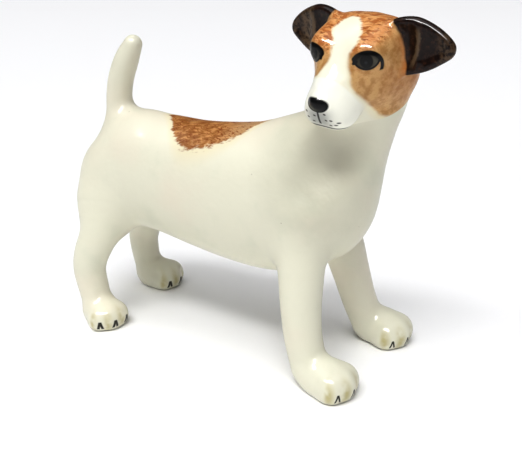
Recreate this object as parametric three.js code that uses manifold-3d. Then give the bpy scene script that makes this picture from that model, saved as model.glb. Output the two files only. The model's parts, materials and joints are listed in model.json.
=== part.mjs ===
// Glazed ceramic terrier, a slip-cast shelf figurine about 13 cm tall. Millimetres, +Z up.
// The dog stands along X with its chest at +X and looks out over its right side, towards -Y.
// It is built the way such a figurine leaves the moulds: a hollow body casting and a hollow
// head casting, with ears, tail and legs cast apart and stuck on with slip before firing.
import * as THREE from 'three';
import { mergeVertices } from 'three/addons/utils/BufferGeometryUtils.js';
import Module from 'manifold-3d';

const wasm = await Module();
wasm.setup();

// Driving dimensions
const WALL = 3.5; // thickness of the hollow castings
const JOINT = 0.3; // slip joint left open between two castings
const VENT_RADIUS = 1.6; // pin holes that let air out of the hollows in the kiln
const FOOTPRINT_SHIFT = new THREE.Vector3(-3.55, 0, 0); // brings the middle of the whole to x = y = 0
const RIGHT = -1;
const LEFT = 1;
const SIDES = { right: RIGHT, left: LEFT };

// How far the left legs stand from where the right legs stand
const HIND_STAGGER = -5;
const FORE_STAGGER = 5;

// Head: its middle, and its turn from facing +X, in degrees
const HEAD_AT = new THREE.Vector3(50.7, -5.6, 114.7);
const HEAD_YAW = -103.8;
const HEAD_PITCH = 16.1;
const HEAD_ROLL = -3.3;

// Barrel of the body: x, top, bottom, half width
const BARREL = [
  [-74.5, 59, 55, 3],
  [-73, 63, 47, 8],
  [-69.5, 69, 41, 12],
  [-64, 77, 38, 15],
  [-56, 83.5, 37.5, 17],
  [-46, 85.5, 38, 18],
  [-32, 84.2, 37.5, 17.2],
  [-15, 83.7, 35.2, 17.5],
  [0, 84.8, 32.6, 18.5],
  [15, 87.5, 31, 20],
  [28, 91, 32, 20.8],
  [40, 89, 36.5, 20.3],
  [48, 84, 43, 18],
  [53, 77, 51, 13],
  [55.5, 69, 60, 5],
];

// Round limbs: x, y, z, radius. Legs are given for one side, with y counted outwards. The first
// and last rows of each limb lie inside its neighbours, where the skin closes.
const NECK = [
  [30, 0, 59, 12],
  [36, 0, 66, 19],
  [42, 0.3, 80, 17.3],
  [46.8, 1, 92, 14.8],
  [50.2, 1.6, 102, 14],
  [51.5, -0.5, 110, 12.8],
  [51.5, -3.5, 118, 8],
];
const TAIL = [
  [-60, 0, 69, 4],
  [-58.6, 0, 77, 7.4],
  [-56.8, 0, 85, 6],
  [-55, 0, 92, 5.2],
  [-53.2, 0, 99, 5.1],
  [-50, 0, 105.5, 4.8],
  [-47.2, 0, 110.2, 4],
  [-45.6, 0, 113, 2.9],
  [-44.8, 0, 114.4, 1.2],
];
const FORELEG = [
  [33, 9, 57, 5],
  [34, 13.4, 49, 10],
  [36, 16.6, 39, 8.4],
  [37.1, 19, 28, 7],
  [38.8, 20.4, 17, 6.3],
  [42, 21.2, 6, 6.3],
];
const HIND_LEG = [
  [-57.5, 6, 59, 5],
  [-57.3, 10.8, 49, 11.6],
  [-55.5, 16.5, 38, 8.8],
  [-58.6, 20, 29, 6.6],
  [-60.5, 20.5, 22, 5.6],
  [-58.5, 20.5, 14, 5.4],
  [-56, 20.5, 6, 5.6],
];

// Muscle masses under the skin and the paws, again for one side
const SHOULDER = { at: [31, 10, 57], radii: [14, 11.5, 19] };
const HAUNCH = { at: [-57, 7.5, 53], radii: [14.5, 10.5, 20] };
const FORE_PAW = { x: 49.5, y: 22.7, toesOut: 6, scale: 1 };
const HIND_PAW = { x: -53, y: 21.5, toesOut: 8, scale: 0.95 };
const PAW_PAD = { at: [0.5, 0, 4.6], radii: [10.4, 8, 7.2] };
const TOE_RADII = [4.4, 2.9, 4.5];
const TOE_HEIGHT = 3.6;
const TOES = [[5, -5.6], [7, -2], [7, 2], [5, 5.6]];

// Muzzle and lower jaw in the head's own axes: forward, left, up, radius
const MUZZLE = [
  [2, 0, -3.6, 10.2],
  [8, 0, -4.3, 9.4],
  [13, 0, -5.5, 8.2],
  [19, 0, -6.8, 6.7],
  [23, 0, -7.6, 5.2],
  [25.6, 0, -7.8, 3],
];
const JAW = [
  [-2, 0, -9, 7],
  [5, 0, -10.6, 7.2],
  [12, 0, -11.6, 5.8],
  [20.5, 0, -11.4, 4],
  [23, 0, -11.2, 2.2],
];

// Rounded masses of the head, in the same axes
const SKULL = { at: [-1.5, 0, 1.6], radii: [14.5, 13.2, 10.8] };
const CHEEK = { at: [1.5, 6.5, -5], radii: [10.5, 7.8, 9.5] };
const BROW = { at: [7.5, 7, 6.4], radii: [5, 5, 3.6] };
const NOSE = { at: [25, 0, -5.6], radii: [2.6, 3.2, 2.6] };

// Ear flap seen from the front: sideways from the head's middle, up
const EAR_OUTLINE = [
  [9.5, 11.6], [14, 13.2], [18.4, 13.4], [22.5, 12.1], [26.6, 9.8], [30, 6.7], [31, 4.3],
  [30.4, 2.2], [28.4, 0.4], [24.2, -2], [19.4, -3.4], [13, -4.5], [9.5, -3],
];
const EAR_MIDDLE = new THREE.Vector2(19, 5);
const EAR_THICKNESS = 4;
const EAR_DISH = 1.6;
const EAR_JOINT = 14.4; // how far from the head's middle plane the ears are stuck on

// Joint faces of the castings: a point on the joint and the way out of the body
const NECK_JOINT = { at: [47, -2, 97], out: [0, -0.45, 1] };
const TAIL_JOINT = { at: [-55.5, 0, 90], out: [0.15, 0, 1] };
const FORE_JOINT = { at: [41, 16, 39], out: [0, 0.8, -1] };
const HIND_JOINT = { at: [-58, 14, 41], out: [0, 0.6, -1] };

// Air holes: one through the belly and one that joins the two hollows through the neck
const BELLY_VENT = { from: [-15, 0, 25], to: [-15, 0, 47] };
const NECK_VENT = { from: [45, -1, 85], to: [49, 0.5, 105] };

function solidOf(geometry) {
  const bare = geometry.clone();
  bare.deleteAttribute('normal');
  bare.deleteAttribute('uv');
  const merged = mergeVertices(bare, 1e-4);
  return new wasm.Manifold(new wasm.Mesh({
    numProp: 3,
    vertProperties: merged.attributes.position.array,
    triVerts: new Uint32Array(merged.index.array),
  }));
}

function join(solids) {
  return solids.reduce((all, next) => all.add(next));
}

// Moves every point of a ball: place(point, step) is also told how far round from the first
// pole to the last the point lies, from 0 to 1.
function shapedBall(around, along, place) {
  const ball = new THREE.SphereGeometry(1, around, along);
  const positions = ball.attributes.position;
  const point = new THREE.Vector3();
  for (let i = 0; i < positions.count; i += 1) {
    point.fromBufferAttribute(positions, i);
    const step = Math.acos(THREE.MathUtils.clamp(point.y, -1, 1)) / Math.PI;
    place(point, step);
    positions.setXYZ(i, point.x, point.y, point.z);
  }
  return ball;
}

// A closed skin over oval sections strung on a smooth line. Each section is
// { centre, across, upright }; `reference` fixes which way "across" points.
function skin(sections, around, along, reference, straight = null) {
  const line = new THREE.CatmullRomCurve3(sections.map((section) => section.centre));
  const sizes = new THREE.CatmullRomCurve3(
    sections.map((section) => new THREE.Vector3(section.across, section.upright, 0)),
    false, 'catmullrom', 0.5,
  );
  const lastRing = along - 1;
  return shapedBall(around, along, (point, step) => {
    const ring = Math.round(step * along);
    const t = THREE.MathUtils.clamp((ring - 1) / (lastRing - 1), 0, 1);
    const centre = line.getPoint(t);
    const size = sizes.getPoint(t);
    const forward = straight ?? line.getTangent(t);
    const across = new THREE.Vector3().crossVectors(reference, forward).normalize();
    const upright = new THREE.Vector3().crossVectors(forward, across).normalize();
    const reach = Math.hypot(point.x, point.z);
    const isPole = ring === 0 || ring === along;
    const c = isPole ? 0 : point.x / reach;
    const s = isPole ? 0 : point.z / reach;
    point.copy(centre)
      .addScaledVector(across, c * size.x)
      .addScaledVector(upright, s * size.y);
  });
}

const X_AXIS = new THREE.Vector3(1, 0, 0);
const Z_AXIS = new THREE.Vector3(0, 0, 1);

function barrelSkin(inset) {
  const isHollow = inset > 0;
  const rows = isHollow ? BARREL.slice(2, -2) : BARREL;
  const sections = rows.map(([x, top, bottom, halfWidth]) => ({
    centre: new THREE.Vector3(x, 0, (top + bottom) / 2),
    across: halfWidth - inset,
    upright: (top - bottom) / 2 - inset,
  }));
  return skin(sections, isHollow ? 16 : 24, isHollow ? 12 : 26, Z_AXIS, X_AXIS);
}

function limbSkin(stations, side, shift, around, along, inset = 0) {
  const sections = stations.map(([x, y, z, radius], i) => ({
    centre: new THREE.Vector3(x + (shift * i) / (stations.length - 1), side * y, z),
    across: radius - inset,
    upright: radius - inset,
  }));
  return skin(sections, around, along, X_AXIS);
}

function ellipsoid({ at, radii }, around, along, side = LEFT) {
  const ball = new THREE.SphereGeometry(1, around, along);
  ball.rotateX(Math.PI / 2);
  ball.scale(...radii);
  ball.translate(at[0], side * at[1], at[2]);
  return ball;
}

// The same mass made smaller all round, for the hollow inside it
function shrunk({ at, radii }, inset) {
  return { at, radii: radii.map((radius) => radius - inset) };
}

// A paw turned outwards from +X: a pad and four toes on the ground
function paw(place, side, shift) {
  const pieces = [ellipsoid(PAW_PAD, 16, 8)];
  for (const [ahead, aside] of TOES) {
    pieces.push(ellipsoid({ at: [ahead, aside, TOE_HEIGHT], radii: TOE_RADII }, 8, 6));
  }
  return join(pieces.map((piece) => {
    piece.scale(place.scale, place.scale, place.scale);
    piece.rotateZ(side * THREE.MathUtils.degToRad(place.toesOut));
    piece.translate(place.x + shift, side * place.y, 0);
    return solidOf(piece);
  }));
}

// Head, in its own axes: forward, left, up
const headPlace = new THREE.Matrix4().compose(
  HEAD_AT,
  new THREE.Quaternion().setFromEuler(new THREE.Euler(
    THREE.MathUtils.degToRad(HEAD_ROLL),
    THREE.MathUtils.degToRad(HEAD_PITCH),
    THREE.MathUtils.degToRad(HEAD_YAW),
    'ZYX',
  )),
  new THREE.Vector3(1, 1, 1),
);

function earGeometry(side) {
  const outline = new THREE.CatmullRomCurve3(
    EAR_OUTLINE.map(([out, up]) => new THREE.Vector3(out, up, 0)), true,
  );
  const ear = shapedBall(26, 8, (point, step) => {
    const turn = (Math.atan2(point.z, point.x) / (2 * Math.PI) + 1) % 1;
    const spread = Math.sin(step * Math.PI) ** 0.7;
    const rim = outline.getPoint(turn);
    const out = EAR_MIDDLE.x + (rim.x - EAR_MIDDLE.x) * spread;
    const up = EAR_MIDDLE.y + (rim.y - EAR_MIDDLE.y) * spread;
    const dish = EAR_DISH * (1 - spread * spread);
    const middle = -1 - 0.13 * (out - 12) - 0.17 * (up - 5) - dish;
    const thick = Math.sign(point.y) * Math.abs(point.y) ** 0.6 * (EAR_THICKNESS / 2);
    point.set(middle + thick, out, up);
  });
  if (side === RIGHT) {
    ear.scale(1, -1, 1);
    ear.index.array.reverse();
  }
  return ear;
}

function headSolid() {
  const across = new THREE.Vector3(0, 0, 1);
  const skinOf = (stations, around, along) => skin(stations.map(([f, l, u, radius]) => ({
    centre: new THREE.Vector3(f, l, u), across: radius, upright: radius,
  })), around, along, across);
  const pieces = [
    ellipsoid(SKULL, 20, 14),
    skinOf(MUZZLE, 16, 10),
    skinOf(JAW, 12, 8),
    ellipsoid(NOSE, 10, 6),
  ];
  for (const side of Object.values(SIDES)) {
    pieces.push(ellipsoid(CHEEK, 14, 10, side));
    pieces.push(ellipsoid(BROW, 10, 8, side));
    pieces.push(earGeometry(side));
  }
  return join(pieces.map((piece) => solidOf(piece.applyMatrix4(headPlace))));
}

function headHollow() {
  const skull = ellipsoid(shrunk(SKULL, WALL), 16, 10);
  const throat = limbSkin(NECK.slice(-3, -1), LEFT, 0, 12, 5, WALL + 1);
  return solidOf(skull.applyMatrix4(headPlace)).add(solidOf(throat));
}

// A block with one face on a joint that fills the space on its outer side; `back` moves that
// face back into the body
function block({ at, out }, { halfX, halfOther, reach }, back = 0) {
  const box = new THREE.BoxGeometry(2 * halfX, 2 * halfOther, reach);
  box.translate(0, 0, reach / 2 - back);
  const up = new THREE.Vector3(...out).normalize();
  const other = new THREE.Vector3().crossVectors(up, X_AXIS).normalize();
  const along = new THREE.Vector3().crossVectors(other, up);
  box.applyMatrix4(new THREE.Matrix4().makeBasis(along, other, up));
  box.translate(...at);
  return solidOf(box);
}

function pinHole(ends) {
  const from = new THREE.Vector3(...ends.from);
  const to = new THREE.Vector3(...ends.to);
  const hole = new THREE.CylinderGeometry(VENT_RADIUS, VENT_RADIUS, from.distanceTo(to), 8);
  hole.applyQuaternion(new THREE.Quaternion().setFromUnitVectors(
    new THREE.Vector3(0, 1, 0), to.clone().sub(from).normalize(),
  ));
  hole.translate(...from.lerp(to, 0.5).toArray());
  return solidOf(hole);
}

function wholeDog() {
  const solids = [
    solidOf(barrelSkin(0)),
    solidOf(limbSkin(NECK, LEFT, 0, 20, 10)),
    solidOf(limbSkin(TAIL, LEFT, 0, 12, 14)),
    headSolid(),
  ];
  for (const side of Object.values(SIDES)) {
    const fore = side === LEFT ? FORE_STAGGER : 0;
    const hind = side === LEFT ? HIND_STAGGER : 0;
    solids.push(
      solidOf(ellipsoid(SHOULDER, 16, 10, side)),
      solidOf(ellipsoid(HAUNCH, 16, 10, side)),
      solidOf(limbSkin(FORELEG, side, fore, 14, 10)),
      solidOf(limbSkin(HIND_LEG, side, hind, 14, 12)),
      paw(FORE_PAW, side, fore),
      paw(HIND_PAW, side, hind),
    );
  }
  const ground = { at: [0, 0, 0], out: [0, 0, -1] };
  const allUnderneath = { halfX: 120, halfOther: 80, reach: 40 };
  return join(solids).subtract(block(ground, allUnderneath));
}

// Each smaller casting is what lies past its joint, within a space of its own
const HEAD_SPACE = { halfX: 50, halfOther: 60, reach: 70 };
const cuts = [
  { node: 'head', joint: NECK_JOINT, space: HEAD_SPACE },
  { node: 'tail', joint: TAIL_JOINT, space: { halfX: 15, halfOther: 15, reach: 40 } },
];
function onSide({ at, out }, side) {
  return { at: [at[0], side * at[1], at[2]], out: [out[0], side * out[1], out[2]] };
}
for (const [word, side] of Object.entries(SIDES)) {
  cuts.push({
    node: `foreleg_${word}`,
    joint: onSide(FORE_JOINT, side),
    space: { halfX: 31, halfOther: 35, reach: 80 },
  });
  cuts.push({
    node: `hind_leg_${word}`,
    joint: onSide(HIND_JOINT, side),
    space: { halfX: 28, halfOther: 32, reach: 80 },
  });
}

const castings = {};
castings.torso = wholeDog();
for (const { node, joint, space } of cuts) {
  castings[node] = castings.torso.intersect(block(joint, space, -JOINT / 2));
  castings.torso = castings.torso.subtract(block(joint, space, JOINT / 2));
}

// The ears come off the head casting at planes just outside its cheeks
const EAR_SPACE = { length: 40, height: 30, middle: 9 };
for (const [word, side] of Object.entries(SIDES)) {
  const space = (back) => {
    const box = new THREE.BoxGeometry(EAR_SPACE.length, EAR_SPACE.length, EAR_SPACE.height);
    box.translate(0, side * (EAR_JOINT + EAR_SPACE.length / 2 - back), EAR_SPACE.middle);
    return solidOf(box.applyMatrix4(headPlace));
  };
  castings[`ear_${word}`] = castings.head.intersect(space(-JOINT / 2));
  castings.head = castings.head.subtract(space(JOINT / 2));
}

// The body casting is hollow up to a floor below the neck joint, and the head casting too
function bodyHollow() {
  const throat = limbSkin(NECK.slice(1, 4), LEFT, 0, 12, 5, WALL);
  const [x, y, z] = NECK_JOINT.at;
  const lid = block({ at: [x, y, z - 2 * WALL], out: NECK_JOINT.out }, HEAD_SPACE);
  return solidOf(barrelSkin(WALL)).add(solidOf(throat).subtract(lid));
}
castings.torso = castings.torso
  .subtract(bodyHollow())
  .subtract(pinHole(BELLY_VENT))
  .subtract(pinHole(NECK_VENT));
castings.head = castings.head
  .subtract(headHollow())
  .subtract(pinHole(NECK_VENT));

// Glaze colours
const white = { color: 0xe8e3d2, roughness: 0.12, metalness: 0 };
const face = { color: 0xe2d3b8, roughness: 0.12, metalness: 0 };
const darkBrown = { color: 0x2a1a12, roughness: 0.12, metalness: 0 };

function glazeFor(node) {
  if (node.startsWith('ear')) {
    return new THREE.MeshStandardMaterial(darkBrown);
  }
  return new THREE.MeshStandardMaterial(node === 'head' ? face : white);
}

function meshOf(node, solid) {
  const { vertProperties, triVerts } = solid.getMesh();
  const geometry = new THREE.BufferGeometry();
  geometry.setAttribute('position', new THREE.BufferAttribute(vertProperties, 3));
  geometry.setIndex(new THREE.BufferAttribute(triVerts, 1));
  geometry.computeVertexNormals();
  const mesh = new THREE.Mesh(geometry, glazeFor(node));
  mesh.name = node;
  return mesh;
}

const dog = new THREE.Group();
dog.position.copy(FOOTPRINT_SHIFT);
for (const [node, solid] of Object.entries(castings)) {
  dog.add(meshOf(node, solid));
}

export default dog;
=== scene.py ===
"""Glazed ceramic terrier figurine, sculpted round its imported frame.

The dog is modelled the way a figurine maker does it: lumps of clay are pressed into each other,
the skin over them is drawn, it is parted at the slip joints into the castings that the frame
holds, and paint and one clear glaze go over the whole. Clay is measured in millimetres.
"""

import json
import math

import bmesh
import bpy
import numpy as np
from mathutils import Euler, Matrix, Vector


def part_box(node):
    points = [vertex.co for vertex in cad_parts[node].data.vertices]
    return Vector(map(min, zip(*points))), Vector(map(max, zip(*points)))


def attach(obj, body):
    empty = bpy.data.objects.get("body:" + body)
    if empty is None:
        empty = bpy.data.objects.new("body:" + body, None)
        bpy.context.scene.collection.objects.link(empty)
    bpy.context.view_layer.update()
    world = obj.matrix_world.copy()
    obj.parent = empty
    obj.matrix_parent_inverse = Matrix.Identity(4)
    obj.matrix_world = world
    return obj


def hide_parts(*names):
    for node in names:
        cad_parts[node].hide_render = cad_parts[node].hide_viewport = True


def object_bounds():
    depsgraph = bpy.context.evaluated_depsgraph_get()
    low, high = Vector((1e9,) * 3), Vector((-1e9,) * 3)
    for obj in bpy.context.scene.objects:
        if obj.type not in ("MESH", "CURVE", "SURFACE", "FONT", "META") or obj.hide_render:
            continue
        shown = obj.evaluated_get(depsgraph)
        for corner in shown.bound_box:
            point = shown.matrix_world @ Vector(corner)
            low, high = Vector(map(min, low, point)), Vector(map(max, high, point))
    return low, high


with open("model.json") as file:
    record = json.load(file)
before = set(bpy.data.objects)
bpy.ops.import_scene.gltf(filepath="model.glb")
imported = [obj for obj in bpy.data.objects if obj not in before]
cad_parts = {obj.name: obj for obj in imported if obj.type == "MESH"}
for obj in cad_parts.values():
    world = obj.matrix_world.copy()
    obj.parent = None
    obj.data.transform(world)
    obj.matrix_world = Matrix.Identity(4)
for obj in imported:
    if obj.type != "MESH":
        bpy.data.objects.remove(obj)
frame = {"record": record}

cad_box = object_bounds()

# ------------------------------------------------------------------ places from the frame
MM = 0.001
LEFT, RIGHT = 1, -1
SIDES = {"left": LEFT, "right": RIGHT}


def box_mm(node):
    low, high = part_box(node)
    return np.array(low) / MM, np.array(high) / MM


def middle_mm(node):
    low, high = box_mm(node)
    return (low + high) / 2


soles = {m["name"]: np.array(m["pos_m"]) / MM for m in frame["record"]["mounts"]}
floor_z = cad_box[0].z / MM

# Body places are counted forwards from the back of the rump and up from the floor
rump = np.array([box_mm("torso")[0][0], 0.0, floor_z])
# How much further forward each left paw stands than the right one
fore_stagger = soles["sole_front_left"][0] - soles["sole_front_right"][0]
hind_stagger = soles["sole_hind_left"][0] - soles["sole_hind_right"][0]

# The head sits a little below and behind the middle of the line between the ears
HEAD_FROM_EARS = np.array([-0.57, -1.31, -4.79])
head_at = (middle_mm("ear_left") + middle_mm("ear_right")) / 2 + HEAD_FROM_EARS
HEAD_ROLL, HEAD_PITCH, HEAD_YAW = (math.radians(a) for a in (-3.3, 16.1, -103.8))
head_turn = np.array(Euler((HEAD_ROLL, HEAD_PITCH, HEAD_YAW)).to_matrix())

# ------------------------------------------------------------------ clay
FAR = 30.0  # distance given to points with no clay near them
REACH = 4.0  # how far round a lump its distance is worked out


def press_together(a, b, blend):
    """The smaller of two distances, with the valley between them filled over `blend` mm."""
    share = np.clip(0.5 + 0.5 * (b - a) / blend, 0, 1)
    return b + (a - b) * share - blend * share * (1 - share)


def smooth_line(rows, steps=8):
    """Points of a smooth curve through rows of numbers."""
    rows = np.asarray(rows, float)
    ends = np.vstack([2 * rows[0] - rows[1], rows, 2 * rows[-1] - rows[-2]])
    points = []
    for i in range(1, len(ends) - 2):
        p0, p1, p2, p3 = ends[i - 1:i + 3]
        for t in np.arange(steps) / steps:
            bend = (2 * p0 - 5 * p1 + 4 * p2 - p3) * t ** 2
            twist = (3 * p1 - p0 - 3 * p2 + p3) * t ** 3
            points.append(0.5 * (2 * p1 + (p2 - p0) * t + bend + twist))
    points.append(ends[-2])
    return np.array(points)


def ball(centre, radii, turn=None):
    """An ellipsoid, as (distance function, low corner, high corner)."""
    centre, radii = np.asarray(centre, float), np.asarray(radii, float)
    turn = np.eye(3) if turn is None else turn

    def distance(points):
        q = (points - centre) @ turn
        near = np.linalg.norm(q / radii, axis=-1)
        steepness = np.linalg.norm(q / radii ** 2, axis=-1) + 1e-9
        return near * (near - 1) / steepness

    return distance, centre - radii.max(), centre + radii.max()


def limb(stations, tall=1.0):
    """A round limb through (x, y, z, radius) stations, `tall` times as high as it is wide."""
    line = smooth_line(stations)
    squash = np.array([1, 1, 1 / tall])
    line[:, :3] *= squash

    def distance(points):
        q = points * squash
        best = np.full(len(q), np.inf)
        nearest = np.zeros_like(q)
        for a, b in zip(line[:-1], line[1:]):
            along = b[:3] - a[:3]
            t = np.clip((q - a[:3]) @ along / (along @ along), 0, 1)
            offset = q - a[:3] - t[:, None] * along
            d = np.linalg.norm(offset, axis=1) - a[3] - t * (b[3] - a[3])
            closer = d < best
            best[closer] = d[closer]
            nearest[closer] = offset[closer]
        if tall == 1:
            return best
        unit = nearest / (np.linalg.norm(nearest, axis=1, keepdims=True) + 1e-9)
        return best / np.linalg.norm(unit * squash, axis=1)

    reach = line[:, 3:] * np.array([1, 1, tall])
    centres = line[:, :3] / squash
    return distance, (centres - reach).min(0), (centres + reach).max(0)


class Clay:
    """Lumps pressed into each other, kept in their own axes."""

    def __init__(self):
        self.lumps = []

    def add(self, lump, blend):
        self.lumps.append((lump, blend, False))

    def carve(self, lump, blend):
        self.lumps.append((lump, blend, True))

    def distance(self, points):
        field = np.full(len(points), FAR)
        for (shape, low, high), blend, carved in self.lumps:
            spare = blend + REACH
            near = np.all((points > low - spare) & (points < high + spare), axis=1)
            if not near.any():
                continue
            d = shape(points[near])
            if carved:
                field[near] = -press_together(-field[near], d, blend)
            else:
                field[near] = press_together(field[near], d, blend)
        return field


# ------------------------------------------------------------------ the dog in clay
# Barrel of the body: forward of the rump, height of its middle, half width
BARREL = [
    (18.4, 57.0, 15.0), (28.5, 62.1, 17.3), (42.5, 61.5, 17.5), (59.5, 59.7, 18.3),
    (74.5, 59.1, 19.4), (89.5, 59.7, 20.3), (101.5, 61.6, 19.8), (111.0, 63.8, 17.4),
]
BARREL_TALL = 1.38
# Muscle masses: place and radii. The haunch and shoulder are for one side, counted outwards.
WITHERS = (105.0, 0.0, 80.5), (16.0, 9.0, 9.5)
HAUNCH = (18.8, 8.2, 53.0), (12.9, 9.8, 19.5)
SHOULDER = (105.5, 11.0, 58.0), (13.0, 10.3, 18.0)
# Round limbs: forward of the rump, outwards, up, radius
NECK = [
    (109.5, 0, 67, 18.2), (116.3, 0.6, 81, 16.0), (121.3, 1.4, 92.5, 14.0),
    (124.7, 1.8, 102.5, 13.7), (126.0, -0.5, 110.0, 12.4),
]
TAIL = [
    (20.6, 0, 76, 6.0), (19.6, 0, 84, 5.4), (19.6, 0, 91, 5.1), (21.3, 0, 98.5, 5.0),
    (24.5, 0, 105.5, 4.7), (28.0, 0, 111.4, 3.6),
]
FORELEG = [
    (108.5, 13.4, 49, 9.2), (110.5, 16.6, 39, 8.1), (111.9, 19, 28, 7.3),
    (113.8, 20.4, 17, 6.8), (116.8, 21.2, 7, 6.6),
]
# The hollow that the turned head leaves between its throat and the near shoulder
THROAT_HOLLOW = [(113.9, -24.6, 74.0, 7.0), (120.4, -20.3, 81.8, 9.1), (130.2, -16.0, 87.0, 7.0)]
HIND_LEG = [
    (17.6, 10.6, 48, 10.6), (18.5, 16.2, 38, 8.0), (16.4, 19.8, 29, 7.0),
    (15.2, 20.3, 22, 6.5), (16.6, 20.3, 14, 6.1), (18.5, 20.5, 7, 5.8),
]
LEFT_HIND_LAG = 2.4  # how much further back the left hind leg leaves the body
# The air hole through the belly
VENT = [(63.05, 0, 25, 1.6), (63.05, 0, 47, 1.6)]


def staged(rows, side, stagger=0.0, lag=0.0):
    """Stations of one side's limb, `lag` further back at the top, `stagger` forward at the paw."""
    last = len(rows) - 1
    return [
        (rump[0] + x - lag + (stagger + lag) * i / last, side * y, floor_z + z, radius)
        for i, (x, y, z, radius) in enumerate(rows)
    ]


def body_ball(mass, side=LEFT):
    (x, y, z), radii = mass
    return ball((rump[0] + x, side * y, floor_z + z), radii)


# Paw, ahead of its middle, aside and up: the pad, then each toe
PAD, PAD_RADII = (-0.6, 0.0, 4.6), (9.9, 7.8, 7.6)
TOES = [(4.4, -4.9, 4.3), (6.0, 0.0, 4.3), (4.4, 4.9, 4.3)]
TOE_RADII = (4.5, 3.9, 5.0)
# How each paw is turned to the left in degrees, its size, and how far ahead of its mount it is
PAWS = {
    ("front", "right"): (-9, 1.03, 0.0),
    ("front", "left"): (-14, 1.07, -1.8),
    ("hind", "right"): (-22, 0.95, 0.0),
    ("hind", "left"): (8, 1.0, 1.6),
}


def paw_middle(end, word):
    x, y = soles[f"sole_{end}_{word}"][:2]
    return np.array([x + PAWS[end, word][2], y, floor_z])


def add_paw(clay, end, word):
    """A rounded pad with three toes, standing flat on the floor."""
    degrees, size = PAWS[end, word][:2]
    turn = math.radians(degrees)
    ahead = np.array([math.cos(turn), math.sin(turn), 0])
    aside = np.array([-math.sin(turn), math.cos(turn), 0])
    axes = np.array([ahead, aside, [0, 0, 1]]).T
    middle = paw_middle(end, word)

    def lump(place, radii):
        return ball(middle + axes @ (size * np.array(place)), size * np.array(radii), axes)

    clay.add(lump(PAD, PAD_RADII), 3.0)
    for toe in TOES:
        clay.add(lump(toe, TOE_RADII), 3.2)


def body_clay():
    clay = Clay()
    barrel = [(rump[0] + x, 0, floor_z + z, r) for x, z, r in BARREL]
    clay.add(limb(barrel, BARREL_TALL), 1.0)
    clay.add(limb(staged(NECK, LEFT)), 9.0)
    clay.add(body_ball(WITHERS), 8.0)
    for word, side in SIDES.items():
        hind = hind_stagger if side == LEFT else 0.0
        fore = fore_stagger if side == LEFT else 0.0
        lag = LEFT_HIND_LAG if side == LEFT else 0.0
        clay.add(body_ball(HAUNCH, side), 6.0)
        clay.add(limb(staged(HIND_LEG, side, hind, lag)), 6.0)
        clay.add(body_ball(SHOULDER, side), 7.0)
        clay.add(limb(staged(FORELEG, side, fore)), 4.0)
        add_paw(clay, "front", word)
        add_paw(clay, "hind", word)
    clay.add(limb(staged(TAIL, LEFT)), 6.5)
    clay.carve(limb(staged(THROAT_HOLLOW, LEFT)), 9.0)
    clay.carve(limb(staged(VENT, LEFT)), 0.5)
    return clay


# Head, in its own axes: forward, left, up
SKULL, SKULL_RADII = (-1.5, 0, 1.5), (14.5, 13.2, 10.4)
# Cheek, jowl, crown, temple and brow of one side: place, radii, blend
HEAD_MASSES = [
    ((1.5, 6.5, -5), (10.5, 7.8, 9.5), 5.0),
    ((-6.5, 6.5, -6), (8.5, 9.0, 10.0), 4.0),
    ((-2.5, 7.5, 6.0), (8.5, 6.3, 4.8), 3.0),
    ((1.5, 8.5, 2.5), (9.5, 5.2, 7.5), 3.0),
    ((7.5, 7.2, 5.3), (5.2, 5.2, 3.9), 3.0),
]
EYEBALL = (8.2, 8.2, 3.4), (4.4, 4.6, 3.9)
MUZZLE = [(3, 0, -3.6, 9.8), (8, 0, -4.5, 9.5), (13, 0, -5.9, 8.4), (18.2, 0, -7.9, 6.4)]
JAW = [(1, 0, -10.8, 7.4), (10, 0, -12.8, 5.8), (18.4, 0, -12.7, 4.0)]
FLEWS = (17.6, 4.0, -11.3), (6.3, 4.7, 5.4)
NOSE, NOSE_RADII = (22.6, 0, -6.7), (3.1, 3.8, 2.75)
EAR_OUTLINE = [
    (9.5, 11.4), (14, 12.7), (18.4, 12.9), (22.5, 11.6), (26.6, 9.4), (30, 6.5), (31, 4.2),
    (30.4, 2.2), (28.2, 0.5), (24.0, -2.0), (19.4, -3.7), (13.0, -4.9), (9.5, -3.2),
]
EAR_THICKNESS = 4.2
EAR_RIM = 2.05


def outline_distance(u, v, outline):
    """Signed distance to a closed outline in a plane, negative inside."""
    best = np.full(u.shape, np.inf)
    inside = np.zeros(u.shape, bool)
    for a, b in zip(outline, np.roll(outline, -1, axis=0)):
        edge = b - a
        du, dv = u - a[0], v - a[1]
        t = np.clip((du * edge[0] + dv * edge[1]) / (edge @ edge + 1e-12), 0, 1)
        best = np.minimum(best, (du - edge[0] * t) ** 2 + (dv - edge[1] * t) ** 2)
        crosses = (a[1] > v) != (b[1] > v)
        inside ^= crosses & (du < edge[0] * dv / (edge[1] + 1e-12))
    return np.sqrt(best) * np.where(inside, -1, 1)


def ear(side):
    """An ear flap held out sideways, dished in front, with a soft fold down its middle."""
    outline = smooth_line(EAR_OUTLINE + EAR_OUTLINE[:1], 3)[:-1]

    def distance(points):
        out, up, forward = points[:, 1] * side, points[:, 2], points[:, 0]
        rim = outline_distance(out, up, outline)
        inner = np.clip(-rim / 6.0, 0, 1)
        dish = 1.6 * inner * (2 - inner)
        middle = -1.0 - 0.13 * (out - 12) - 0.17 * (up - 5) - dish
        ridge = np.exp(-(((out - 20.2 + 0.02 * up) / 1.7) ** 2))
        fold = 0.75 * ridge * np.clip(inner * 2, 0, 1)
        side_on = forward - middle
        thick = np.where(side_on > 0, side_on - fold, -side_on) - EAR_THICKNESS / 2
        a, b = rim + EAR_RIM, thick + EAR_RIM
        corner = np.hypot(np.maximum(a, 0), np.maximum(b, 0))
        return np.minimum(np.maximum(a, b), 0) + corner - EAR_RIM

    low = np.array([-9.0, 8.0, -6.0])
    high = np.array([6.0, 33.0, 15.0])
    if side == RIGHT:
        low[1], high[1] = -high[1], -low[1]
    return distance, low, high


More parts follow.
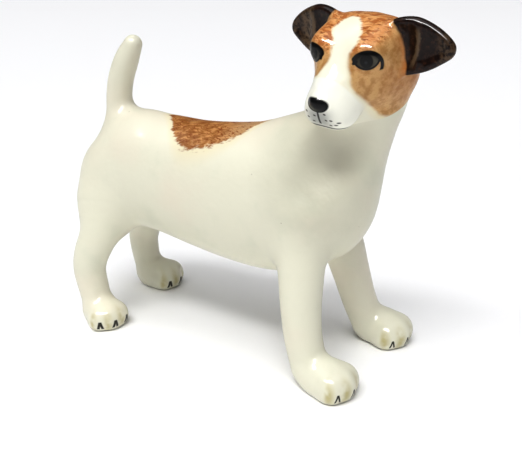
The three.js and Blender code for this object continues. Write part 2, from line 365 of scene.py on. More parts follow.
def side_ball(place, radii, side):
    forward, out, up = place
    return ball((forward, side * out, up), radii)


def head_clay():
    clay = Clay()
    clay.add(ball(SKULL, SKULL_RADII), 1.0)
    for side in SIDES.values():
        for place, radii, blend in HEAD_MASSES:
            clay.add(side_ball(place, radii, side), blend)
    clay.add(limb(MUZZLE), 5.0)
    clay.add(limb(JAW), 3.0)
    for side in SIDES.values():
        clay.add(side_ball(*FLEWS, side), 3.5)
    clay.add(ball(NOSE, NOSE_RADII), 0.9)
    for side in SIDES.values():
        clay.add(side_ball(*EYEBALL, side), 1.5)
        clay.add(ear(side), 1.8)
    return clay


body = body_clay()
head = head_clay()
HEAD_REACH = 42.0
HEAD_BLEND = 4.0


def to_head(points):
    return (points - head_at) @ head_turn


def dog_distance(points):
    field = body.distance(points)
    near = np.linalg.norm(points - head_at, axis=1) < HEAD_REACH
    if near.any():
        in_head = head.distance(to_head(points[near]))
        field[near] = press_together(field[near], in_head, HEAD_BLEND)
    under = floor_z - points[:, 2]
    return -press_together(-field, -under, 1.0)


# ------------------------------------------------------------------ skin over the clay
NORMAL_SPAN = 0.5  # how far to each side the field is compared to find the skin's facing
CUBE_CORNERS = [(i, j, k) for i in (0, 1) for j in (0, 1) for k in (0, 1)]
CUBE_EDGES = [
    (a, b)
    for n, a in enumerate(CUBE_CORNERS)
    for b in CUBE_CORNERS[n + 1:]
    if sum(x != y for x, y in zip(a, b)) == 1
]


def in_blocks(function, points, size=250_000):
    return np.concatenate([function(points[i:i + size]) for i in range(0, len(points), size)])


def facing(points, span):
    """Unit vectors pointing out of the clay."""
    slope = np.empty_like(points)
    for axis in range(3):
        step = np.zeros(3)
        step[axis] = span
        ahead = in_blocks(dog_distance, points + step)
        slope[:, axis] = ahead - in_blocks(dog_distance, points - step)
    return slope / np.linalg.norm(slope, axis=1, keepdims=True)


def skin_over(low, high, step):
    """Points and four-sided faces of the clay's surface within a box of small cubes."""
    axes = [np.arange(a, b + step, step) for a, b in zip(low, high)]
    shape = tuple(len(axis) for axis in axes)
    grid = np.stack(np.meshgrid(*axes, indexing="ij"), -1).reshape(-1, 3)
    field = in_blocks(dog_distance, grid).reshape(shape)
    solid = field < 0

    # One point in each cube that the surface passes through
    cubes = tuple(n - 1 for n in shape)
    filled = np.zeros(cubes, np.int8)
    for i, j, k in CUBE_CORNERS:
        filled += solid[i:i + cubes[0], j:j + cubes[1], k:k + cubes[2]]
    crossed = (filled > 0) & (filled < len(CUBE_CORNERS))
    cells = np.argwhere(crossed)
    number = np.full(cubes, -1)
    number[crossed] = np.arange(len(cells))
    total, count = np.zeros((len(cells), 3)), np.zeros(len(cells))
    for a, b in CUBE_EDGES:
        fa, fb = field[tuple((cells + a).T)], field[tuple((cells + b).T)]
        crosses = (fa < 0) != (fb < 0)
        t = np.where(crosses, fa / np.where(crosses, fa - fb, 1), 0)
        point = np.array(a) + t[:, None] * (np.array(b) - np.array(a))
        total += np.where(crosses[:, None], point, 0)
        count += crosses
    points = (cells + total / count[:, None]) * step + low

    # One face across each grid edge that the surface cuts
    faces = []
    for axis in range(3):
        inner = [slice(1, -1)] * 3
        inner[axis] = slice(0, shape[axis] - 1)
        beyond = list(inner)
        beyond[axis] = slice(1, shape[axis])
        here, there = solid[tuple(inner)], solid[tuple(beyond)]
        first, second = [a for a in range(3) if a != axis]
        if axis == 1:
            first, second = second, first
        one, two = np.zeros(3, int), np.zeros(3, int)
        one[first], two[second] = 1, 1
        offset = np.ones(3, int)
        offset[axis] = 0
        for mask, turned in ((here & ~there, False), (~here & there, True)):
            edge = np.argwhere(mask) + offset
            ring = [edge - one - two, edge - two, edge, edge - one]
            quad = np.stack([number[tuple(corner.T)] for corner in ring], 1)
            faces.append(quad[:, ::-1] if turned else quad)
    faces = np.concatenate(faces)

    points = points - facing(points, 0.2) * in_blocks(dog_distance, points)[:, None]
    return points, faces


# ------------------------------------------------------------------ parting into castings
# Joints as in the frame: a point forward of the rump, aside and up, and the way out
NECK_JOINT = ((121.5, -2, 97), (0, -0.45, 1))
TAIL_JOINT = ((19.0, 0, 90), (0.15, 0, 1))
FORE_JOINT = ((115.5, 16, 39), (0, 0.8, -1))
HIND_JOINT = ((16.5, 14, 41), (0, 0.6, -1))
EAR_JOINT = 14.4
EAR_ROOT = -6.5
MID_BODY = rump[0] + 60.0


def joint(place, side=LEFT):
    (x, y, z), (ox, oy, oz) = place
    at = np.array([rump[0] + x, side * y, floor_z + z])
    return at, np.array([ox, side * oy, oz])


def ear_joint(side):
    at = head_at + head_turn @ np.array([0, side * EAR_JOINT, 0])
    return at, head_turn @ np.array([0, side, 0])


def anywhere(centre):
    return True


def by_the_ears(centre):
    return to_head(np.array(centre))[2] > EAR_ROOT


def cut_away(mesh, at, out, where=anywhere):
    """Cuts the mesh at a joint and drops what lies past it, among faces chosen by `where`."""
    at, out = Vector(at), Vector(out).normalized()
    chosen = [f for f in mesh.faces if where(f.calc_center_median())]
    geometry = set(chosen)
    for face in chosen:
        geometry.update(face.verts)
        geometry.update(face.edges)
    bmesh.ops.bisect_plane(mesh, geom=list(geometry), dist=1e-5, plane_co=at, plane_no=out)
    past = [
        f for f in mesh.faces
        if (f.calc_center_median() - at).dot(out) > 0 and where(f.calc_center_median())
    ]
    bmesh.ops.delete(mesh, geom=past, context="FACES")


def keep_largest(mesh):
    """Drops crumbs, which a joint leaves where it grazes the skin."""
    left = set(mesh.verts)
    largest = set()
    while left:
        island, edge = set(), [left.pop()]
        while edge:
            vertex = edge.pop()
            island.add(vertex)
            near = [e.other_vert(vertex) for e in vertex.link_edges]
            edge.extend(v for v in near if v in left)
            left.difference_update(near)
        if len(island) > len(largest):
            largest = island
    crumbs = [v for v in mesh.verts if v not in largest]
    bmesh.ops.delete(mesh, geom=crumbs, context="VERTS")


def casting(name, step, cuts, spare=2.5):
    """One casting: the skin around its frame node, parted at its joints and closed there."""
    low, high = box_mm(name)
    low = np.maximum(low - spare, [-np.inf, -np.inf, floor_z - step])
    points, faces = skin_over(low, high + spare, step)
    mesh = bmesh.new()
    corners = [mesh.verts.new(p) for p in points]
    for face in faces.tolist():
        mesh.faces.new([corners[i] for i in face])
    for at, out, where in cuts:
        cut_away(mesh, at, out, where)
    for face in mesh.faces:
        face.smooth = True
    rims = [e for e in mesh.edges if e.is_boundary]
    lids = bmesh.ops.holes_fill(mesh, edges=rims, sides=0)["faces"]
    for lid in lids:
        lid.smooth = False
    bmesh.ops.triangulate(mesh, faces=lids)
    bmesh.ops.recalc_face_normals(mesh, faces=mesh.faces)
    keep_largest(mesh)

    data = bpy.data.meshes.new(name)
    mesh.to_mesh(data)
    mesh.free()
    where_at = np.empty(len(data.vertices) * 3)
    data.vertices.foreach_get("co", where_at)
    out = facing(where_at.reshape(-1, 3), NORMAL_SPAN)
    shading = [None] * len(data.loops)
    for face in data.polygons:
        for i in face.loop_indices:
            vertex = data.loops[i].vertex_index
            shading[i] = out[vertex] if face.use_smooth else face.normal
    data.normals_split_custom_set(shading)
    data.transform(Matrix.Scale(MM, 4))
    piece = bpy.data.objects.new(f"{name}_glazed", data)
    bpy.context.scene.collection.objects.link(piece)
    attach(piece, "root")
    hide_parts(name)
    return piece


FINE, MEDIUM, COARSE = (0.55, 0.7, 1.0)
pieces = {}
torso_cuts = [(*joint(NECK_JOINT), anywhere), (*joint(TAIL_JOINT), lambda c: c.x < MID_BODY)]
for word, side in SIDES.items():
    for place, end in ((FORE_JOINT, 1), (HIND_JOINT, -1)):
        torso_cuts.append((
            *joint(place, side),
            lambda c, side=side, end=end: c.y * side > 0 and (c.x - MID_BODY) * end > 0,
        ))


def turned_round(place, side=LEFT):
    at, out = joint(place, side)
    return at, -out, anywhere


pieces["torso"] = casting("torso", COARSE, torso_cuts)
at, out = joint(NECK_JOINT)
pieces["head"] = casting("head", FINE, [
    (at, -out, anywhere),
    (*ear_joint(LEFT), by_the_ears),
    (*ear_joint(RIGHT), by_the_ears),
])
pieces["tail"] = casting("tail", MEDIUM, [turned_round(TAIL_JOINT)])
for word, side in SIDES.items():
    at, out = ear_joint(side)
    pieces[f"ear_{word}"] = casting(f"ear_{word}", FINE, [(at, -out, anywhere)])
    pieces[f"foreleg_{word}"] = casting(
        f"foreleg_{word}", MEDIUM, [turned_round(FORE_JOINT, side)],
    )
    pieces[f"hind_leg_{word}"] = casting(
        f"hind_leg_{word}", MEDIUM, [turned_round(HIND_JOINT, side)],
    )


# ------------------------------------------------------------------ paint kit
class Wire:
    """One output of a node. Sums of wires lay down more nodes."""

    def __init__(self, paint, socket):
        self.paint, self.socket = paint, socket

    def __add__(self, other):
        return self.paint.maths("ADD", self, other)

    def __sub__(self, other):
        return self.paint.maths("SUBTRACT", self, other)

    def __rsub__(self, other):
        return self.paint.maths("SUBTRACT", other, self)

    def __mul__(self, other):
        return self.paint.maths("MULTIPLY", self, other)

    def __abs__(self):
        return self.paint.maths("ABSOLUTE", self)

    __radd__ = __add__
    __rmul__ = __mul__


class Paint:
    """The nodes of one material."""

    def __init__(self, name):
        self.material = bpy.data.materials.new(name)
        self.material.use_nodes = True
        self.nodes = self.material.node_tree.nodes
        self.links = self.material.node_tree.links
        self.shader = self.nodes["Principled BSDF"]

    def plug(self, socket, value):
        if isinstance(value, Wire):
            self.links.new(value.socket, socket)
        else:
            socket.default_value = value

    def lay(self, kind, inputs, output=0, **settings):
        """Adds a node with these inputs and settings, and gives back one of its outputs."""
        node = self.nodes.new(kind)
        for name, value in settings.items():
            setattr(node, name, value)
        for name, value in inputs.items():
            self.plug(node.inputs[name], value)
        return Wire(self, node.outputs[output])

    def maths(self, operation, *values):
        return self.lay("ShaderNodeMath", dict(enumerate(values)), operation=operation)

    def least(self, *values):
        smallest = values[0]
        for value in values[1:]:
            smallest = self.maths("MINIMUM", smallest, value)
        return smallest

    def length(self, *values):
        """How long a step is that goes this far along each axis."""
        total = values[0] * values[0]
        for value in values[1:]:
            total = total + value * value
        return self.maths("SQRT", total)

    def ease(self, value, start, end):
        """Goes smoothly from 0 at `start` to 1 at `end`."""
        inputs = {0: value, 1: start, 2: end}
        return self.lay("ShaderNodeMapRange", inputs, interpolation_type="SMOOTHSTEP")

    def band(self, value, low, high, soft):
        """1 between two values and 0 outside them."""
        rise = self.ease(value, low - soft, low + soft)
        return rise * self.ease(value, high + soft, high - soft)

    def curve(self, value, points):
        """A smooth curve through (value, result) points."""
        (x0, x1), (y0, y1) = [(min(values), max(values)) for values in zip(*points)]
        spots = [((x - x0) / (x1 - x0), (y - y0) / (y1 - y0)) for x, y in sorted(points)]
        node = self.nodes.new("ShaderNodeFloatCurve")
        dots = node.mapping.curves[0].points
        dots[0].location, dots[1].location = spots[0], spots[-1]
        for spot in spots[1:-1]:
            dots.new(*spot)
        node.mapping.update()
        self.plug(node.inputs["Value"], (value - x0) * (1 / (x1 - x0)))
        return Wire(self, node.outputs[0]) * (y1 - y0) + y0

    def mix(self, under, over, share):
        return self.lay("ShaderNodeMix", {0: share, 6: under, 7: over}, 2, data_type="RGBA")

    def noise(self, place, scale, detail=2.0, roughness=0.5):
        inputs = {"Vector": place, "Scale": scale, "Detail": detail, "Roughness": roughness}
        return self.lay("ShaderNodeTexNoise", inputs)

    def axes_at(self, location, rotation=(0, 0, 0)):
        """Where a point is, in mm, seen from axes standing at `location`."""
        spot = self.lay("ShaderNodeTexCoord", {}, "Object")
        inputs = {
            "Vector": spot, "Location": location, "Rotation": rotation, "Scale": (MM, MM, MM),
        }
        return self.lay("ShaderNodeMapping", inputs, vector_type="TEXTURE")

    def split(self, vector):
        x = self.lay("ShaderNodeSeparateXYZ", {0: vector})
        return [Wire(self, output) for output in x.socket.node.outputs]

    def strokes(self, place, yaw, pitch, stretch, fineness):
        """Short brush strokes, bent a little, lying at this yaw and pitch."""
        bend = self.lay("ShaderNodeTexNoise", {"Vector": place, "Scale": 0.18}, 1)
        bend = self.lay("ShaderNodeVectorMath", {0: bend, 1: (0.5, 0.5, 0.5)}, operation="SUBTRACT")
        bend = self.lay("ShaderNodeVectorMath", {0: bend, "Scale": 3.0}, operation="SCALE")
        bent = self.lay("ShaderNodeVectorMath", {0: place, 1: bend}, operation="ADD")
        turn = (0, math.radians(pitch), math.radians(yaw))
        inputs = {"Vector": bent, "Rotation": turn, "Scale": (stretch, 1, 1)}
        laid = self.lay("ShaderNodeMapping", inputs, vector_type="TEXTURE")
        return self.noise(laid, fineness, 3.0, 0.6)


# ------------------------------------------------------------------ colours, as linear light
CHALK = (0.93, 0.93, 0.83, 1)
IVORY = (0.755, 0.74, 0.61, 1)
BLUSH = (0.76, 0.715, 0.59, 1)
POOLED = (0.67, 0.675, 0.55, 1)
SPECK = (0.30, 0.26, 0.19, 1)
HALO = (0.77, 0.67, 0.42, 1)
# Grey of the painted shade on the throat under the head
THROAT_SHADE_GREY = (0.40, 0.39, 0.30, 1)
TAN_LIGHT = (0.74, 0.40, 0.16, 1)
TAN = (0.62, 0.27, 0.085, 1)
RUST = (0.40, 0.120, 0.026, 1)
UMBER = (0.21, 0.048, 0.010, 1)
FAWN_LIGHT = (0.60, 0.365, 0.155, 1)
SADDLE_BROWN = (0.27, 0.100, 0.024, 1)
SADDLE_TAN = (0.45, 0.215, 0.070, 1)
SADDLE_PALE = (0.54, 0.37, 0.20, 1)
FAWN = (0.43, 0.225, 0.080, 1)
EAR_DARK = (0.008, 0.0022, 0.0012, 1)
EAR_BROWN = (0.034, 0.012, 0.006, 1)
EAR_OLIVE = (0.13, 0.085, 0.048, 1)
INK = (0.003, 0.003, 0.003, 1)
IRIS = (0.034, 0.029, 0.020, 1)
GREY_IRIS = (0.075, 0.070, 0.052, 1)
# Grey of the painted highlight in the pupil
PUPIL_GLINT_GREY = (0.022, 0.024, 0.028, 1)
SOOT = (0.26, 0.265, 0.255, 1)
OCHRE = (0.50, 0.44, 0.20, 1)
CLAW = (0.035, 0.032, 0.025, 1)


# ------------------------------------------------------------------ glazes
def white(paint, place):
    """Ivory glaze, warmer in some places and greyer where it pools, with a few kiln specks."""
    colour = paint.mix(IVORY, BLUSH, paint.ease(paint.noise(place, 0.030, 3.0), 0.45, 0.72))
    colour = paint.mix(colour, POOLED, paint.ease(paint.noise(place, 0.075, 4.0), 0.50, 0.85) * 0.8)
    cells = paint.lay("ShaderNodeTexVoronoi", {"Vector": place, "Scale": 0.14})
    tint = paint.split(Wire(paint, cells.socket.node.outputs["Color"]))[0]
    speck = paint.ease(cells, 0.036, 0.020) * paint.ease(tint, 0.72, 0.74)
    return paint.mix(colour, SPECK, speck * 0.6)


def finish_glaze(paint, place, colour, gloss, blur):
    """Clear gloss glaze over the paint, with the faint ripple of a dipped surface."""
    shader = paint.shader
    paint.plug(shader.inputs["Base Color"], colour)
    bisque = paint.noise(place, 0.9, 4.0)
    paint.plug(shader.inputs["Roughness"], bisque * 0.2 + 0.3)
    shader.inputs["Specular IOR Level"].default_value = 0.05
    shader.inputs["Coat Weight"].default_value = gloss
    shader.inputs["Coat Roughness"].default_value = blur
    shader.inputs["Coat IOR"].default_value = 1.4
    ripple = paint.noise(place, 0.16, 2.0) + paint.noise(place, 0.55, 1.0) * 0.25
    inputs = {"Strength": 0.35, "Distance": 0.0006, "Height": ripple}
    normal = paint.lay("ShaderNodeBump", inputs)
    paint.plug(shader.inputs["Normal"], normal)
    paint.plug(shader.inputs["Coat Normal"], normal)
    return paint.material


def body_place(paint):
    return paint.axes_at(tuple(rump * MM))


# Saddle patch: forward of the rump, how far down each side it reaches
SADDLE = [
    (43.5, 0), (48, 4.2), (52, 9.2), (56, 12.1), (59.2, 13.1), (66.7, 13.2), (74.5, 11.8),
    (79.8, 9.9), (83, 7.2), (86, 4), (89.5, 0),
]


def saddle_paint(paint, place, colour):
    forward, left, up = paint.split(place)
    hair = paint.strokes(place, 22, 0, 4.5, 0.9)
    edge = paint.curve(forward, SADDLE) - abs(left)
    ragged = edge + (hair - 0.5) * 5.0
    on_back = paint.ease(up, 66, 70)
    colour = paint.mix(colour, HALO, paint.ease(edge, -4.5, 0.8) * on_back * 0.55)
    patchy = paint.ease(paint.noise(place, 0.3, 3.0) + forward * 0.006, 0.72, 0.98)
    coat = paint.mix(SADDLE_BROWN, SADDLE_TAN, patchy)
    coat = paint.mix(coat, TAN_LIGHT, paint.ease(hair, 0.50, 0.38) * 0.35)
    coat = paint.mix(coat, SADDLE_BROWN, paint.ease(hair, 0.50, 0.60) * 0.8)
    coat = paint.mix(coat, SADDLE_PALE, paint.ease(forward, 70, 84) * 0.65)
    fine = paint.strokes(place, -30, 0, 6.0, 1.7)
    coat = paint.mix(coat, UMBER, paint.ease(fine, 0.55, 0.62) * 0.8)
    return paint.mix(colour, coat, paint.ease(ragged, -0.5, 0.9) * on_back)


def painted_throat_shade(paint, place, colour):
    """Painted shade: greys the near side of the throat, where the turned head shades it."""
    forward, left, up = paint.split(place)
    from_hollow = paint.length(paint.length(forward - 116, left + 17), (up - 80) * 0.75)
    return paint.mix(colour, THROAT_SHADE_GREY, paint.ease(from_hollow, 30, 4) * 0.42)


def torso_glaze():
    paint = Paint("body_glaze")
    place = body_place(paint)
    # The near side of the throat gets painted shade under the head
    colour = painted_throat_shade(paint, place, white(paint, place))
    return finish_glaze(paint, place, saddle_paint(paint, place, colour), 0.3, 0.16)


# Claws: the toes fan out by this angle, and each claw is a thin painted arrowhead
TOE_FAN = math.radians(36)
CLAW_TOP, CLAW_FOOT = 4.9, 1.6
CLAW_SPREAD = 0.27
CLAW_HALF_LINE = {"front": 0.46, "hind": 0.75}


def leg_glaze(end, word):
    """White glaze with ochre between the toes and a claw painted on each toe."""
    paint = Paint(f"{end}_{word}_glaze")
    place = body_place(paint)
    colour = white(paint, place)
    turn = math.radians(PAWS[end, word][0])
    paw = paint.axes_at(tuple(paw_middle(end, word) * MM), (0, 0, turn))
    ahead, aside, up = paint.split(paw)
    angle = paint.maths("ARCTAN2", aside, ahead)
    toe = paint.maths("ROUND", paint.maths("MULTIPLY", angle, 1 / TOE_FAN))
    off_toe = angle - toe * TOE_FAN
    out = paint.length(ahead, aside)
    across = abs(out * paint.maths("SINE", off_toe))
    in_front = paint.ease(abs(angle), 1.15, 1.0) * paint.ease(out, 5.0, 6.5)
    between = paint.ease(across, 0.3, 3.4) * paint.band(up, 0.5, 8.0, 3.5) * in_front
    smudge = paint.ease(paint.noise(place, 0.25, 2.0), 0.25, 0.60)
    colour = paint.mix(colour, OCHRE, between * smudge * 0.85)
    line = abs(across - (CLAW_TOP - up) * CLAW_SPREAD - 0.05)
    on_claw = paint.band(up, CLAW_FOOT, CLAW_TOP, 0.2) * in_front
    half_line = CLAW_HALF_LINE[end]
    colour = paint.mix(colour, CLAW, paint.ease(line, half_line, half_line * 0.5) * on_claw)
    return finish_glaze(paint, place, colour, 0.45, 0.05)


# Face paint in the head's axes. The blaze is counted down the face: up less forward.
BLAZE_LEFT_EDGE = [(12.6, -1.4), (10, 1.4), (6.7, 3.4), (2.5, 5.5), (-2.1, 6.5), (-4.4, 6.1),
                   (-7.7, 4.9), (-11.5, 5.1), (-15.2, 6.3), (-18.9, 7.1), (-21, 8.2), (-24, 9)]
BLAZE_RIGHT_EDGE = [(12.6, -2.4), (11.3, -3.6), (8.7, -4.8), (4.9, -5.4), (1.8, -4.8), (-2.6, -2.8),
                    (-7, -2.0), (-10.5, -1.7), (-14.3, -2.5), (-17.2, -3.6), (-20.1, -5.0),
                    (-24, -8)]
CHEEK_FOOT = [(-16, -15.5), (-8, -17.0), (-4.4, -18.2), (-1, -18.7), (2.0, -18.8), (4.7, -17.7),
              (6.9, -15.6), (9.4, -12.6), (13.9, -7.6), (15.7, -5.3), (17.2, -2.5)]
EAR_ROOT_EDGE = [(-12, 16.5), (-7, 16.4), (-2.6, 16.6), (0.2, 15.9), (4.6, 15.2), (7.6, 14.2),
                 (9.6, 13.2), (12.5, 11.2), (16, 10)]
EYE_SHIFT = 0.9  # the eyes are painted a little to the left of the middle


def eye_paint(paint, colour, forward, left, up):
    """An almond between two arcs, with a lid line that runs on past the outer corner, and a painted
    highlight in the pupil.
    """
    aside = abs(left - EYE_SHIFT)
    across = aside * 0.71 - forward * 0.69 + 1.55
    height = up - 3.9
    upper = paint.length(across - 0.3, height + 1.9) - 4.45
    lower = paint.length(across - 0.2, height - 1.5) - 4.1
    inside = paint.ease(paint.least(0 - upper, 0 - lower), -0.1, 0.2)
    iris = paint.mix(IRIS, GREY_IRIS, paint.ease(across, 0.8, 2.6))
    colour = paint.mix(colour, iris, inside)
    pupil = paint.length(across, height * 0.85)
    colour = paint.mix(colour, INK, paint.ease(pupil, 2.15, 1.65))
    # A painted highlight: a small grey glint on the pupil
    painted_glint = paint.length(across + 0.2, height + 0.3)
    colour = paint.mix(colour, PUPIL_GLINT_GREY, paint.ease(painted_glint, 0.75, 0.1) * 0.7)
    colour = paint.mix(colour, INK, paint.ease(upper, -1.5, -0.2) * inside * 0.85)
    above_foot = paint.ease(height, -4.1, -3.5)
    past_corner = paint.ease(across, 2.6, 3.4)
    beside_lower = paint.maths("MAXIMUM", paint.ease(lower, 0.6, 0.1), past_corner)
    lid = paint.ease(abs(upper), 0.75, 0.42) * beside_lower * above_foot
    colour = paint.mix(colour, INK, lid)
    colour = paint.mix(colour, INK, paint.ease(abs(lower), 0.50, 0.22) * paint.ease(upper, 0.4, 0))
    corner = paint.length((across + 3.35) * 0.75, height + 0.45 - (across + 3.35) * 0.5)
    return paint.mix(colour, INK, paint.ease(corner, 0.80, 0.45))


# Whisker dots: to the left, up
WHISKERS = [(2.5, -9.6), (4.5, -11.5), (2.8, -11.6), (6.5, -12.4), (5.6, -13.2), (4.0, -13.3),
            (-4.8, -9.9), (-4.1, -11.7), (-1.5, -10.7), (-2.3, -12.9)]
MOUTH = [(24.6, -13.2), (23.4, -14.5), (22.4, -15.0), (20.3, -15.4), (17, -15.8), (12, -16.0)]


def muzzle_paint(paint, colour, forward, left, up):
    aside = abs(left)
    in_front = paint.ease(forward, 16, 19)
    dust = paint.band(up, -14.5, -8.5, 1.8) * paint.ease(aside, 7.5, 1.5) * in_front
    colour = paint.mix(colour, SOOT, dust * 0.75)
    line = paint.ease(aside, 0.58, 0.22) * paint.band(up, -13.6, -7.5, 0.2) * in_front
    colour = paint.mix(colour, INK, line * 0.9)
    lip = abs(up - paint.curve(forward, MOUTH))
    colour = paint.mix(colour, INK, paint.ease(lip, 0.42, 0.16) * paint.ease(forward, 15, 21) * 0.9)
    for out, height in WHISKERS:
        right, above = left - out, up - height
        dot = paint.length(right * 0.7 + above * 0.25, above * 1.2)
        colour = paint.mix(colour, CLAW, paint.ease(dot, 0.50, 0.22) * in_front * 0.9)
    above = up - NOSE[2] + 0.6
    half_width = above * 0.3 + 4.0
    nose = paint.length((left + 0.2) * (1 / 4.0), above * (1 / 2.3))
    nose = nose * 4.0 - half_width
    return paint.mix(colour, INK, paint.ease(nose, 0.35, -0.15) * in_front)


def ear_paint(paint, place, left, up):
    """Near black, with a rubbed olive streak down the fold and a browner tip."""
    aside = abs(left)
    mottle = paint.noise(place, 0.7, 4.0, 0.6)
    colour = paint.mix(EAR_DARK, EAR_BROWN, paint.ease(mottle, 0.45, 0.70))
    drooping = paint.least(up, 4.0) * 0.3 + 18.7
    streak = paint.ease(abs(aside - drooping + (mottle - 0.5) * 1.5), 1.1, 0.3)
    colour = paint.mix(colour, EAR_OLIVE, streak * paint.band(up, -1, 10, 1.5) * 0.8)
    right_ear = paint.ease(left, -10, -12)
    rubbed = paint.band(aside, 20.0, 25.5, 1.5) * paint.ease(mottle, 0.30, 0.60)
    colour = paint.mix(colour, EAR_OLIVE, rubbed * right_ear * 0.8)
    tip = paint.ease(aside, 24.5, 28.5) * paint.ease(mottle, 0.40, 0.62)
    return paint.mix(colour, EAR_OLIVE, tip * 0.5)


def head_glaze(name):
    """White, tan, black and sable paint of the head, the same on the head and both ears."""
    paint = Paint(name)
    body_axes = body_place(paint)
    turn = (HEAD_ROLL, HEAD_PITCH, HEAD_YAW)
    place = paint.axes_at(tuple(head_at * MM), turn)
    forward, left, up = paint.split(place)
    colour = paint.mix(white(paint, body_axes), CHALK, paint.ease(up * 0.8 + forward, -4, 6) * 0.9)
    aside = abs(left)

    # Tan patches each side of the blaze, which meet over the crown and down the nape
    down_face = up - forward
    beside_blaze = paint.maths(
        "MAXIMUM",
        left - paint.curve(down_face, BLAZE_LEFT_EDGE),
        paint.curve(down_face, BLAZE_RIGHT_EDGE) - left,
    )
    crown = paint.ease(down_face, 11.0, 13.5) * 3.0
    beside_blaze = paint.maths("MAXIMUM", beside_blaze, crown - 1.0)
    nape = paint.ease(forward, -3.0, -6.5) * 6.0
    beside_blaze = paint.maths("MAXIMUM", beside_blaze, nape - 4.0)
    above_cheek = (up - paint.curve(forward, CHEEK_FOOT)) * 0.7
    edge = paint.least(beside_blaze, above_cheek)
    folded = paint.lay("ShaderNodeCombineXYZ", {0: forward, 1: aside, 2: up})
    hair = paint.strokes(folded, 122, 17, 4.0, 0.62)
    forehead = paint.ease(up - aside * 0.25, 3.0, 6.0)
    ragged = edge + (hair - 0.5) * (forehead * 2.0 + 0.6)
    colour = paint.mix(colour, HALO, paint.ease(edge, -2.4, 0.3) * 0.6)
    mottle = paint.noise(place, 0.35, 4.0, 0.6)
    blotches = paint.ease(mottle, 0.36, 0.62)
    brow_coat = paint.mix(TAN, TAN_LIGHT, blotches)
    brow_coat = paint.mix(brow_coat, RUST, paint.ease(hair, 0.46, 0.58) * 0.85)
    fine = paint.strokes(folded, 100, 5, 5.0, 1.5)
    brow_coat = paint.mix(brow_coat, UMBER, paint.ease(fine, 0.54, 0.65) * 0.75)
    coat = paint.mix(FAWN, FAWN_LIGHT, blotches)
    coat = paint.mix(coat, RUST, paint.ease(fine, 0.58, 0.72) * 0.35)
    coat = paint.mix(coat, brow_coat, forehead * paint.ease(aside + up * 0.4, 17.5, 14.5))
    ear_edge = aside - paint.curve(up, EAR_ROOT_EDGE)
    coat = paint.mix(coat, RUST, paint.ease(ear_edge, -1.6, -0.1) * paint.ease(up, 9, 6) * 0.45)
    coat = paint.mix(coat, RUST, paint.ease(ear_edge, -6.0, -1.0) * paint.ease(up, 3, -3) * 0.3)
    colour = paint.mix(colour, coat, paint.ease(ragged, -0.6, 0.9))

    # Sable ears, eyes, muzzle and nose
    sable = ear_paint(paint, place, left, up)
    at_ear = paint.ease(ear_edge + (mottle - 0.5) * 1.2, -0.5, 0.4) * paint.ease(up, -8.0, -6.0)
    colour = paint.mix(colour, sable, at_ear)
    colour = eye_paint(paint, colour, forward, left, up)
    colour = muzzle_paint(paint, colour, forward, left, up)
    return finish_glaze(paint, body_axes, colour, 0.5, 0.04)


def dress(piece, material):
    piece.data.materials.append(material)


body_material = torso_glaze()
dress(pieces["torso"], body_material)
dress(pieces["tail"], body_material)
for word in SIDES:
    for leg, end in (("foreleg", "front"), ("hind_leg", "hind")):
        dress(pieces[f"{leg}_{word}"], leg_glaze(end, word))
dress(pieces["head"], head_glaze("face_glaze"))
ear_material = head_glaze("ear_glaze")
for word in SIDES:
    dress(pieces[f"ear_{word}"], ear_material)


# ------------------------------------------------------------------ camera, light and floor
# The camera stands about twice the dog's height away and looks down past its near shoulder
CAMERA_ROUND, CAMERA_UP = math.radians(29.86), math.radians(20.29)
CAMERA_AWAY = 2.0
SENSOR_MM, LENS_MM = 36.0, 51.72
AIM = Vector((0.120, -0.328, -0.067))  # from the middle of the object, in lengths, widths, heights


def place_camera(low, high):
    size = high - low
    aim = (low + high) / 2 + Vector((AIM.x * size.x, AIM.y * size.y, AIM.z * size.z))
    level = math.cos(CAMERA_UP)
    out = Vector((
        level * math.sin(CAMERA_ROUND), -level * math.cos(CAMERA_ROUND), math.sin(CAMERA_UP),
    ))
    data = bpy.data.cameras.new("camera")
    data.sensor_width = SENSOR_MM
    data.lens = LENS_MM
    camera = bpy.data.objects.new("camera", data)
    camera.location = aim + out * CAMERA_AWAY * size.z
    camera.rotation_euler = (-out).to_track_quat("-Z", "Y").to_euler()
    bpy.context.scene.collection.objects.link(camera)
    bpy.context.scene.camera = camera


LIT_POINT = Vector((0, 0, 0.08))  # what both lamps are turned towards


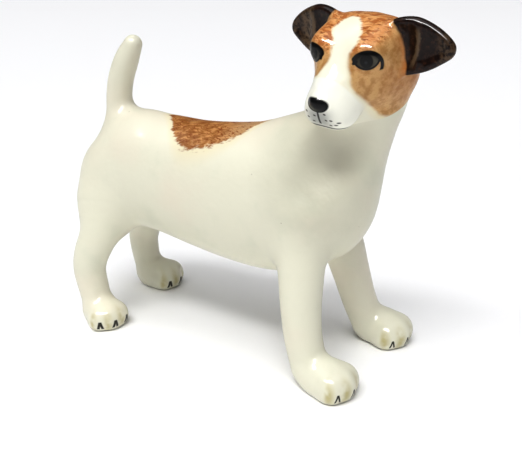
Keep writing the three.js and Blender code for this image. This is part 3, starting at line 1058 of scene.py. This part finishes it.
def soft_light(name, place, size, power):
    """A flat rectangular lamp turned towards the dog."""
    data = bpy.data.lights.new(name, "AREA")
    data.shape = "RECTANGLE"
    data.size, data.size_y = size
    data.energy = power
    light = bpy.data.objects.new(name, data)
    light.location = place
    light.rotation_euler = (LIT_POINT - Vector(place)).to_track_quat("-Z", "Y").to_euler()
    bpy.context.scene.collection.objects.link(light)
    return light


def wide_light(name, side, spread, strength):
    """A broad even light from one side of the sky, such as the wall of a light tent."""
    data = bpy.data.lights.new(name, "SUN")
    data.angle = spread
    data.energy = strength
    light = bpy.data.objects.new(name, data)
    light.rotation_euler = Vector(side).to_track_quat("Z", "Y").to_euler()
    bpy.context.scene.collection.objects.link(light)


def plain_material(name, colour, roughness):
    material = bpy.data.materials.new(name)
    material.use_nodes = True
    shader = material.node_tree.nodes["Principled BSDF"]
    shader.inputs["Base Color"].default_value = (*colour, 1)
    shader.inputs["Roughness"].default_value = roughness
    return material


place_camera(*cad_box)
wide_light("tent", (0.0, -0.22, 0.98), math.radians(75), 2.35)
soft_light("window", (0.75, -6.75, 12.0), (9.0, 3.0), 950.0)
glint = soft_light("glint", (0.02, -0.50, 0.87), (1.1, 0.16), 42.0)
glint.visible_diffuse = False  # it only shows as a crisp highlight in the glaze

world = bpy.data.worlds.new("studio")
world.use_nodes = True
world.node_tree.nodes["Background"].inputs["Color"].default_value = (0.9, 0.92, 1.0, 1)
world.node_tree.nodes["Background"].inputs["Strength"].default_value = 0.07
bpy.context.scene.world = world

FLOOR_REACH = 4.0
FLOOR_CORNERS = [(-1, -1), (1, -1), (1, 1), (-1, 1)]
floor_mesh = bpy.data.meshes.new("floor")
corners = [(x * FLOOR_REACH, y * FLOOR_REACH, cad_box[0].z) for x, y in FLOOR_CORNERS]
floor_mesh.from_pydata(corners, [], [(0, 1, 2, 3)])
floor_mesh.materials.append(plain_material("floor", (0.92, 0.92, 0.93), 0.6))
floor = bpy.data.objects.new("floor", floor_mesh)
bpy.context.scene.collection.objects.link(floor)

# The contrast of a small camera's tone curve
bpy.context.scene.view_settings.view_transform = "Standard"
bpy.context.scene.view_settings.gamma = 0.85
